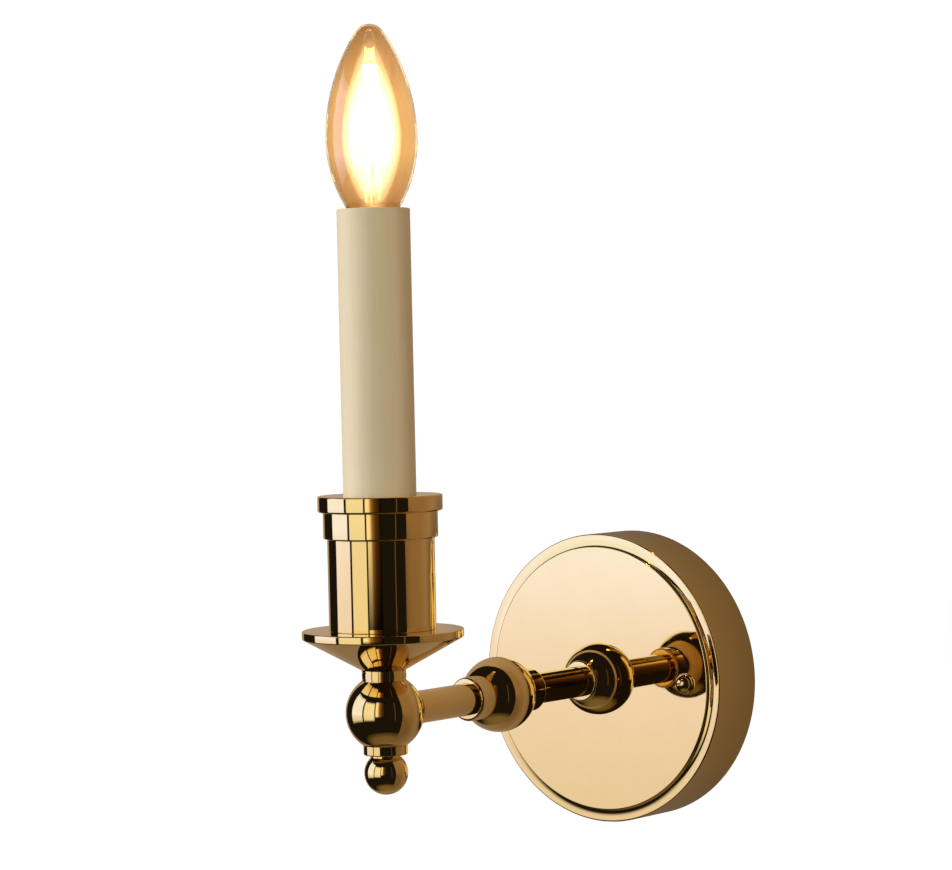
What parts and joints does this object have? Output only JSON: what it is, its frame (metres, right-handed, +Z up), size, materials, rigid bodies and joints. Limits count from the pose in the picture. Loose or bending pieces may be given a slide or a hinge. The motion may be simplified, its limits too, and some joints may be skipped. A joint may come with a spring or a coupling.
{
  "type": "wall sconce candle holder",
  "caption": "Polished brass electric candle wall light: round cup-shaped backplate, straight arm with a ball knop, drip tray, stepped cup, cream candle sleeve and amber candle lamp.",
  "frame": {"origin": "centre of the wall fixing: the middle of the bracket's slotted hole pattern, on the wall plane behind the centre of the round backplate", "axes": "+Z up along the candle, -Y out from the wall along the arm, +X to the viewer's right when facing the wall"},
  "size_m": [0.12, 0.194, 0.3223],
  "materials": {
    "polished_brass": "mirror-polished, lacquered",
    "raw_brass": "machined, unpolished",
    "zinc_steel": "bright zinc plate",
    "cream_sleeve": "satin cream",
    "amber_glass": "clear, amber tint",
    "clear_glass": "clear",
    "filament": "glowing phosphor coat",
    "lead_wire": "drawn wire",
    "cap_metal": "nickel plated, rolled",
    "black_glass": "glossy vitreous insulator",
    "solder": "dull solder",
    "holder_black": "moulded thermoset",
    "holder_white": "moulded",
    "block_nylon": "translucent nylon",
    "black_rubber": "matt",
    "brown_insulation": "satin PVC",
    "blue_insulation": "satin PVC",
    "green_yellow_insulation": "satin PVC, two colours"
  },
  "bodies": {
    "fixture": {"backplate": "polished_brass", "wall_bracket": "zinc_steel", "plate_studs": "raw_brass", "stud_nuts": "zinc_steel", "dome_nuts": "polished_brass", "cable_grommet": "black_rubber", "earth_screw": "raw_brass", "earth_tag": "zinc_steel", "terminal_block": "block_nylon", "terminal_barrels": "raw_brass", "terminal_screws": "zinc_steel", "block_screws": "zinc_steel", "arm_tie_tube": "raw_brass", "stem_tube": "raw_brass", "lock_nuts": "raw_brass", "washers": "raw_brass", "wall_dome": "polished_brass", "rear_arm_tube": "polished_brass", "arm_knop": "polished_brass", "front_arm_tube": "polished_brass", "arm_end_ring": "polished_brass", "junction_ball": "polished_brass", "finial": "polished_brass", "neck_collar": "polished_brass", "drip_tray": "polished_brass", "candle_cup": "polished_brass", "cup_rim_ring": "polished_brass", "holder_base": "zinc_steel", "holder_core": "holder_white", "centre_contact": "raw_brass", "shell_contact": "raw_brass", "holder_screw_shell": "raw_brass", "holder_skirt": "holder_black", "holder_screws": "zinc_steel", "live_wire": "brown_insulation", "neutral_wire": "blue_insulation", "earth_wire": "green_yellow_insulation"},
    "sleeve": {"candle_sleeve": "cream_sleeve"},
    "bulb": {"bulb_glass": "amber_glass", "bulb_stem": "clear_glass", "bulb_filaments": "filament", "bulb_supports": "lead_wire", "bulb_cap": "cap_metal", "bulb_insulator": "black_glass", "bulb_tip": "solder"}
  },
  "joints": [
    {"name": "bulb_lift", "type": "slide", "parent": "fixture", "child": "bulb", "axis": [0, 0, 1], "range_m": [0, 0.2]},
    {"name": "sleeve_lift", "type": "slide", "parent": "fixture", "child": "sleeve", "axis": [0, 0, 1], "range_m": [0, 0.1]}
  ],
  "couplings": [
    {"joint": "sleeve_lift", "follows": "bulb_lift", "ratio": 0.5}
  ]
}
